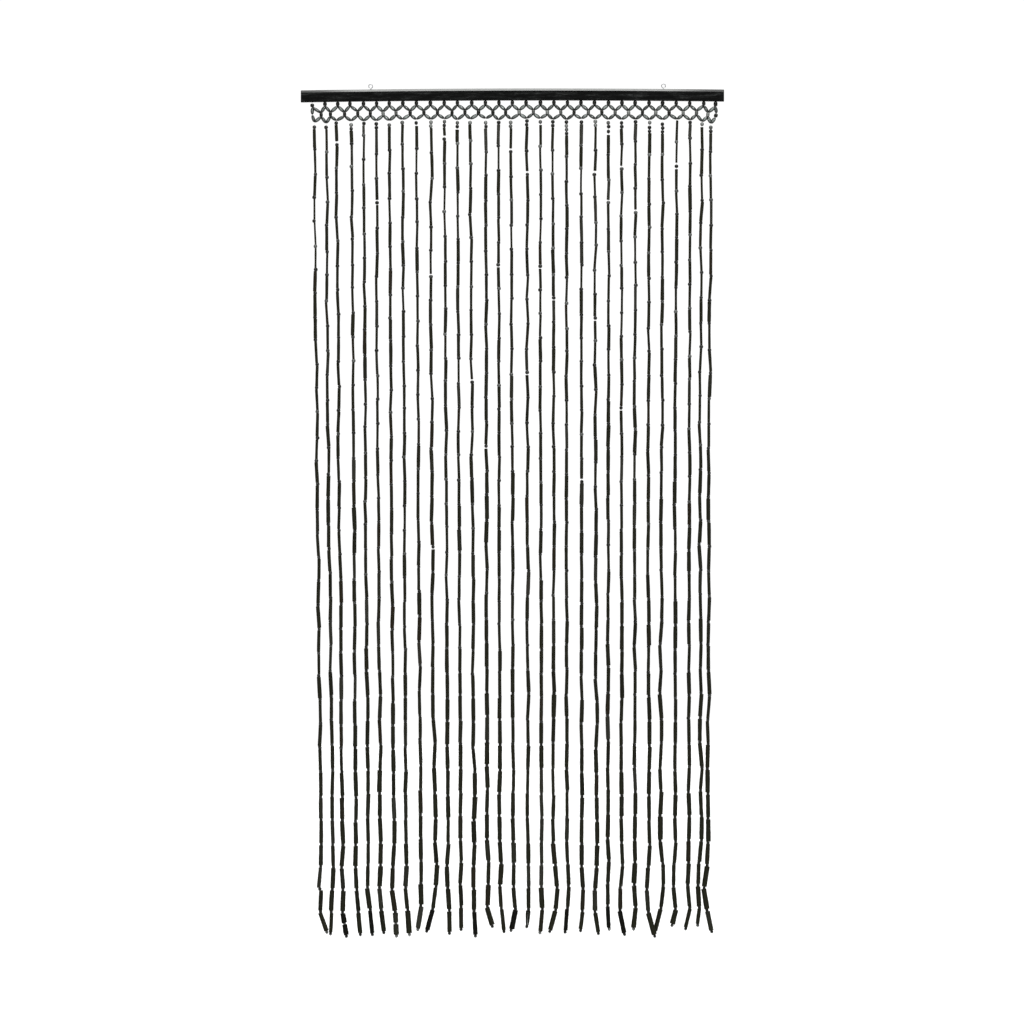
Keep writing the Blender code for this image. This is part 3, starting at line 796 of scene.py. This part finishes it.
class Surface:
    """A material with a Principled shader, and short ways to add nodes to it."""

    COAT_ROUGHNESS = 0.12
    # Stretches a depth in metres over the ramp, which runs from 0 to 1
    DEPTH_STRETCH = 100
    # Range over which most patterns change
    PATTERN_RANGE = (0.3, 0.7)

    def __init__(self, name, roughness=0.5, metallic=0.0, specular=0.5, coat=0.0):
        self.made = bpy.data.materials.new(name)
        self.made.use_nodes = True
        self.nodes = self.made.node_tree.nodes
        self.shader = self.nodes["Principled BSDF"]
        self.shader.inputs["Roughness"].default_value = roughness
        self.shader.inputs["Metallic"].default_value = metallic
        self.shader.inputs["Specular IOR Level"].default_value = specular
        self.shader.inputs["Coat Weight"].default_value = coat
        self.shader.inputs["Coat Roughness"].default_value = self.COAT_ROUGHNESS

    def join(self, source, target):
        """Links an output to an input, or sets the input where source is a plain value."""
        if hasattr(source, "is_output"):
            self.made.node_tree.links.new(source, target)
        else:
            target.default_value = source

    def places(self, scale, attribute=None):
        """Places on the surface, stretched by scale: the object's own, or those kept as an attribute."""
        if attribute:
            source = self.nodes.new("ShaderNodeAttribute")
            source.attribute_name = attribute
            vector = source.outputs["Vector"]
        else:
            vector = self.nodes.new("ShaderNodeTexCoord").outputs["Object"]
        stretch = self.nodes.new("ShaderNodeMapping")
        stretch.inputs["Scale"].default_value = scale
        self.join(vector, stretch.inputs["Vector"])
        return stretch.outputs["Vector"]

    def parts(self, vector):
        """The three parts of a vector."""
        made = self.nodes.new("ShaderNodeSeparateXYZ")
        self.join(vector, made.inputs["Vector"])
        return made.outputs["X"], made.outputs["Y"], made.outputs["Z"]

    def shares(self):
        """The chance, grey and bare shares that are kept with each bead."""
        source = self.nodes.new("ShaderNodeAttribute")
        source.attribute_name = "mark"
        return self.parts(source.outputs["Vector"])

    def painted_highlight_band(self, low, high):
        """Mask of a painted highlight band: 1 along a bead's front and back, 0 at its rims and tips. low,
        high: depths where it changes.
        """
        source = self.nodes.new("ShaderNodeAttribute")
        source.attribute_name = "grain"
        depth = self.math("ABSOLUTE", self.parts(source.outputs["Vector"])[1], 0.0)
        stops = ((low * self.DEPTH_STRETCH, 0.0), (high * self.DEPTH_STRETCH, 1.0))
        return self.ramp(self.math("MULTIPLY", depth, self.DEPTH_STRETCH), stops)

    def normal(self):
        """Which way the surface faces."""
        return self.nodes.new("ShaderNodeNewGeometry").outputs["True Normal"]

    def noise(self, places, detail, rough, distortion=0.0):
        made = self.nodes.new("ShaderNodeTexNoise")
        made.inputs["Scale"].default_value = 1.0
        made.inputs["Detail"].default_value = detail
        made.inputs["Roughness"].default_value = rough
        made.inputs["Distortion"].default_value = distortion
        self.join(places, made.inputs["Vector"])
        return made.outputs["Fac"]

    def ramp(self, value, stops):
        """Colour by value. stops: (place, grey or colour)."""
        made = self.nodes.new("ShaderNodeValToRGB")
        points = made.color_ramp.elements
        points.remove(points[-1])
        points[0].position = stops[0][0]
        for place, _ in stops[1:]:
            points.new(place)
        for point, (_, colour) in zip(points, stops):
            point.color = (*colour, 1) if isinstance(colour, tuple) else (colour, colour, colour, 1)
        self.join(value, made.inputs["Fac"])
        return made.outputs["Color"]

    def shade(self, pattern, low, high):
        """From one grey or colour to another as a pattern rises."""
        return self.ramp(pattern, tuple(zip(self.PATTERN_RANGE, (low, high))))

    def mix(self, share, a, b):
        made = self.nodes.new("ShaderNodeMix")
        made.data_type = "RGBA"
        self.join(share, made.inputs["Factor"])
        for value, key in ((a, "A"), (b, "B")):
            socket = next(s for s in made.inputs if s.name == key and s.type == "RGBA")
            self.join((*value, 1) if isinstance(value, tuple) else value, socket)
        return next(s for s in made.outputs if s.type == "RGBA")

    def math(self, operation, a, b):
        made = self.nodes.new("ShaderNodeMath")
        made.operation = operation
        self.join(a, made.inputs[0])
        self.join(b, made.inputs[1])
        return made.outputs["Value"]

    def colour(self, value):
        self.join(value, self.shader.inputs["Base Color"])

    def roughness(self, value):
        self.join(value, self.shader.inputs["Roughness"])

    def bump(self, height, depth, strength):
        made = self.nodes.new("ShaderNodeBump")
        made.inputs["Distance"].default_value = depth
        made.inputs["Strength"].default_value = strength
        self.join(height, made.inputs["Height"])
        self.join(made.outputs["Normal"], self.shader.inputs["Normal"])


def stained_wood():
    """Black stain over planed softwood with thin grain streaks, and a painted highlight: pale grey on the
    slanting front edge, fading out towards the rail's ends.
    """
    wood = Surface("stained_wood_finish", specular=0.05)
    fine = wood.noise(wood.places((110, 600, 900)), detail=5, rough=0.65, distortion=0.4)
    broad = wood.noise(wood.places((22, 60, 180)), detail=3, rough=0.5)
    grain = wood.math("MULTIPLY", fine, broad)
    dark_to_pale = (
        (0.22, (0.0014, 0.0015, 0.0014)),
        (0.31, (0.0045, 0.0048, 0.0046)),
        (0.46, (0.03, 0.032, 0.031)),
    )
    face = wood.ramp(grain, dark_to_pale)
    # Painted highlight: a pale grey mixed over the grain on faces that slant up to the front, fading out
    # towards both ends of the rail
    along = wood.parts(wood.places((1, 1, 1)))[0]
    front, lift = wood.parts(wood.normal())[1:]
    rising = wood.ramp(lift, ((0.55, 0.0), (0.66, 1.0), (0.76, 1.0), (0.86, 0.0)))
    slant = wood.math("MULTIPLY", rising, wood.math("LESS_THAN", front, -0.3))
    ends = wood.ramp(wood.math("ABSOLUTE", along, 0.0), ((0.37, 1.0), (0.46, 0.25)))
    painted_edge_highlight = wood.shade(fine, (0.1, 0.102, 0.099), (0.15, 0.152, 0.148))
    wood.colour(wood.mix(wood.math("MULTIPLY", slant, ends), face, painted_edge_highlight))
    wood.roughness(wood.ramp(grain, ((0.2, 0.36), (0.45, 0.55))))
    wood.bump(fine, 0.2 * MM, strength=0.4)
    return wood.made


def zinc_steel():
    """Zinc plated wire, a little mottled."""
    steel = Surface("zinc_steel_finish", metallic=0.8)
    mottle = steel.noise(steel.places((700, 700, 500), "grain"), detail=4, rough=0.6)
    steel.colour(steel.shade(mottle, (0.22, 0.225, 0.23), (0.35, 0.355, 0.36)))
    steel.roughness(steel.shade(mottle, 0.72, 0.6))
    steel.bump(mottle, 0.03 * MM, strength=0.4)
    return steel.made


def black_bamboo():
    """Black stained bamboo with an olive cast: fibres along each tube, and paler cut ends."""
    cane = Surface("black_bamboo_finish", specular=0.05)
    chance, grey, bare = cane.shares()
    fibres = cane.noise(cane.places((2600, 2600, 45), "grain"), detail=4, rough=0.6)
    patches = cane.noise(cane.places((160, 160, 60), "grain"), detail=3, rough=0.5)
    dark_to_pale = (
        (0.3, (0.0044, 0.0046, 0.0023)),
        (0.55, (0.0094, 0.0096, 0.0053)),
        (0.75, (0.022, 0.0224, 0.014)),
    )
    olive = cane.ramp(fibres, dark_to_pale)
    brown = cane.shade(fibres, (0.006, 0.0038, 0.0022), (0.022, 0.013, 0.007))
    some = cane.ramp(chance, ((0.88, 0.0), (0.98, 0.6)))
    brownish = cane.math("MULTIPLY", some, cane.ramp(patches, ((0.35, 0.2), (0.6, 1.0))))
    body = cane.mix(brownish, olive, brown)
    body = cane.mix(cane.math("MAXIMUM", grey, 0.0), body, (0.035, 0.035, 0.031))
    blacker = cane.ramp(chance, ((0.0, 0.4), (0.1, 0.0)))
    black = cane.math("MAXIMUM", cane.math("MULTIPLY", grey, -0.85), blacker)
    body = cane.mix(black, body, (0.0012, 0.0012, 0.0009))
    cane.colour(cane.mix(cane.math("MULTIPLY", bare, 0.4), body, (0.02, 0.016, 0.01)))
    cane.roughness(cane.shade(fibres, 0.62, 0.42))
    cane.bump(fibres, 0.12 * MM, strength=0.6)
    return cane.made


def turned_bead():
    """Round wooden beads, lacquered black, some of them smoke-grey. The grey is painted only along their
    front and back, as a painted highlight band with dark rims.
    """
    gloss = Surface("turned_bead_finish", specular=0.2)
    # Painted highlight: a bead's grey share shows only along its front and back, pale there with dark rims
    grey = gloss.math("MULTIPLY", gloss.shares()[1], gloss.painted_highlight_band(2.2 * MM, 3.4 * MM))
    mottle = gloss.noise(gloss.places((900, 900, 500), "grain"), detail=3, rough=0.55)
    dark = gloss.shade(mottle, (0.0025, 0.0027, 0.002), (0.009, 0.0095, 0.0072))
    pale = gloss.shade(mottle, (0.08, 0.086, 0.08), (0.2, 0.21, 0.2))
    gloss.colour(gloss.mix(grey, dark, pale))
    gloss.roughness(gloss.shade(mottle, 0.2, 0.38))
    gloss.bump(mottle, 0.05 * MM, strength=0.4)
    return gloss.made


def lattice_bead():
    """Glossy dark green-grey spindle beads with faint streaks along them, and a paler grey painted along
    their front and back as a highlight streak that leaves the rims dark.
    """
    gloss = Surface("lattice_bead_finish", specular=0.2, coat=0.2)
    # Painted highlight streak: paler grey along each bead's front and back only, dark at the rims
    grey = gloss.math("MULTIPLY", gloss.shares()[1], gloss.painted_highlight_band(3.45 * MM, 4.05 * MM))
    streaks = gloss.noise(gloss.places((1400, 1400, 60), "grain"), detail=4, rough=0.6)
    deep = gloss.shade(streaks, (0.004, 0.0052, 0.0045), (0.014, 0.018, 0.016))
    painted_streak_grey = gloss.shade(streaks, (0.09, 0.104, 0.098), (0.22, 0.245, 0.232))
    gloss.colour(gloss.mix(grey, deep, painted_streak_grey))
    gloss.roughness(gloss.shade(streaks, 0.14, 0.28))
    gloss.bump(streaks, 0.04 * MM, strength=0.4)
    return gloss.made


def nylon_thread():
    """Pale twisted nylon thread."""
    nylon = Surface("thread_finish", roughness=0.45, specular=0.4)
    twist = nylon.noise(nylon.places((3000, 3000, 900), "grain"), detail=3, rough=0.5)
    nylon.colour(nylon.shade(twist, (0.42, 0.43, 0.4), (0.66, 0.67, 0.63)))
    nylon.bump(twist, 0.05 * MM, strength=0.5)
    return nylon.made


def sun_light(row):
    """A far light with a soft edge, tilted to the front and turned to the side."""
    data = bpy.data.lights.new(row.name, "SUN")
    data.energy = row.energy
    data.angle = math.radians(row.spread_deg)
    made = bpy.data.objects.new(row.name, data)
    made.rotation_euler = (math.radians(row.tilt_deg), 0, math.radians(row.turn_deg))
    bpy.context.scene.collection.objects.link(made)


def panel_light(row):
    """A rectangular soft light at a place, turned to a target."""
    data = bpy.data.lights.new(row.name, "AREA")
    data.shape = "RECTANGLE"
    data.size, data.size_y = row.size
    data.energy = row.power
    made = bpy.data.objects.new(row.name, data)
    made.location = row.place
    made.rotation_mode = "QUATERNION"
    made.rotation_quaternion = (Vector(row.target) - Vector(row.place)).to_track_quat("-Z", "Y")
    bpy.context.scene.collection.objects.link(made)


def pale_floor():
    """A wide pale floor far under the curtain."""
    data = bpy.data.meshes.new("floor")
    half = FLOOR_SIZE / 2
    corners = [(x * half, y * half, FLOOR_LEVEL) for x, y in ((-1, -1), (1, -1), (1, 1), (-1, 1))]
    data.from_pydata(corners, [], [(0, 1, 2, 3)])
    floor = bpy.data.objects.new("floor", data)
    bpy.context.scene.collection.objects.link(floor)
    paint = Surface("floor_paint", roughness=0.9, specular=0.1)
    speck = paint.noise(paint.places((3, 3, 3)), detail=3, rough=0.5)
    paint.colour(paint.shade(speck, 0.93, 0.96))
    data.materials.append(paint.made)


def white_surroundings():
    """White all round, brighter to the eye than as a light."""
    world = bpy.data.worlds.new("white_surroundings")
    bpy.context.scene.world = world
    world.use_nodes = True
    nodes = world.node_tree.nodes
    links = world.node_tree.links
    seen = nodes["Background"]
    lit = nodes.new("ShaderNodeBackground")
    for made, strength in ((seen, SEEN_WHITE), (lit, LIT_WHITE)):
        made.inputs["Color"].default_value = (1, 1, 1, 1)
        made.inputs["Strength"].default_value = strength
    path = nodes.new("ShaderNodeLightPath")
    choice = nodes.new("ShaderNodeMixShader")
    links.new(path.outputs["Is Camera Ray"], choice.inputs["Fac"])
    links.new(lit.outputs["Background"], choice.inputs[1])
    links.new(seen.outputs["Background"], choice.inputs[2])
    links.new(choice.outputs["Shader"], nodes["World Output"].inputs["Surface"])


def front_camera():
    """The camera, straight on to the whole curtain."""
    lens = bpy.data.cameras.new("camera")
    lens.sensor_width = SENSOR
    lens.lens = SENSOR * VIEW_DISTANCE / VIEW_WIDTH
    lens.clip_end = VIEW_CLIP
    camera = bpy.data.objects.new("camera", lens)
    camera.location = (VIEW_SIDE, -VIEW_DISTANCE, VIEW_HEIGHT)
    camera.rotation_euler = (math.radians(90), 0, 0)
    bpy.context.scene.collection.objects.link(camera)
    bpy.context.scene.camera = camera
    bpy.context.scene.view_settings.view_transform = "Standard"


def studio():
    """Floor, surroundings, lights and camera."""
    pale_floor()
    white_surroundings()
    for row in SUNS:
        sun_light(row)
    for row in PANELS:
        panel_light(row)
    front_camera()


def dress():
    """Builds every piece over its solid."""
    tube_finish = black_bamboo()
    oval_finish = lattice_bead()
    hung, above, below, feet = lattice_points()
    ovals, shorts, threads = Heap(), Heap(), Heap()
    groups = [Heap() for _ in range(TUBE_GROUPS)]
    rounds = [Heap() for _ in range(BEAD_GROUPS)]
    for n, root in enumerate(feet):
        tubes = groups[n * TUBE_GROUPS // len(feet)]
        beads = rounds[n * BEAD_GROUPS // len(feet)]
        dress_strand(n, root, tubes, beads, threads)
    dress_lattice(hung, above, below, feet, ovals, shorts, threads)
    bead_finish = turned_bead()
    pieces = []
    for name, heaps, look in (("bamboo_tubes", groups, tube_finish), ("round_beads", rounds, bead_finish)):
        for k, heap in enumerate(heaps, 1):
            pieces.append(heap.finish(f"{name}_{k}", look, "black_bamboo"))
    pieces.append(ovals.finish("oval_beads", oval_finish, "lattice_bead"))
    pieces.append(shorts.finish("short_beads", bead_finish, "lattice_bead"))
    pieces.append(threads.finish("threads", nylon_thread(), "thread"))
    for piece in pieces:
        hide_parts("bead_strands")
    steel = zinc_steel()
    dress_eye("screw_eye_left", "eye_left", EYE_PLACES[0], 1, steel)
    dress_eye("screw_eye_right", "eye_right", EYE_PLACES[1], -1, steel)
    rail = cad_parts["head_rail"]
    wood = stained_wood()
    for place in rail.material_slots:
        place.material = wood


dress()
studio()
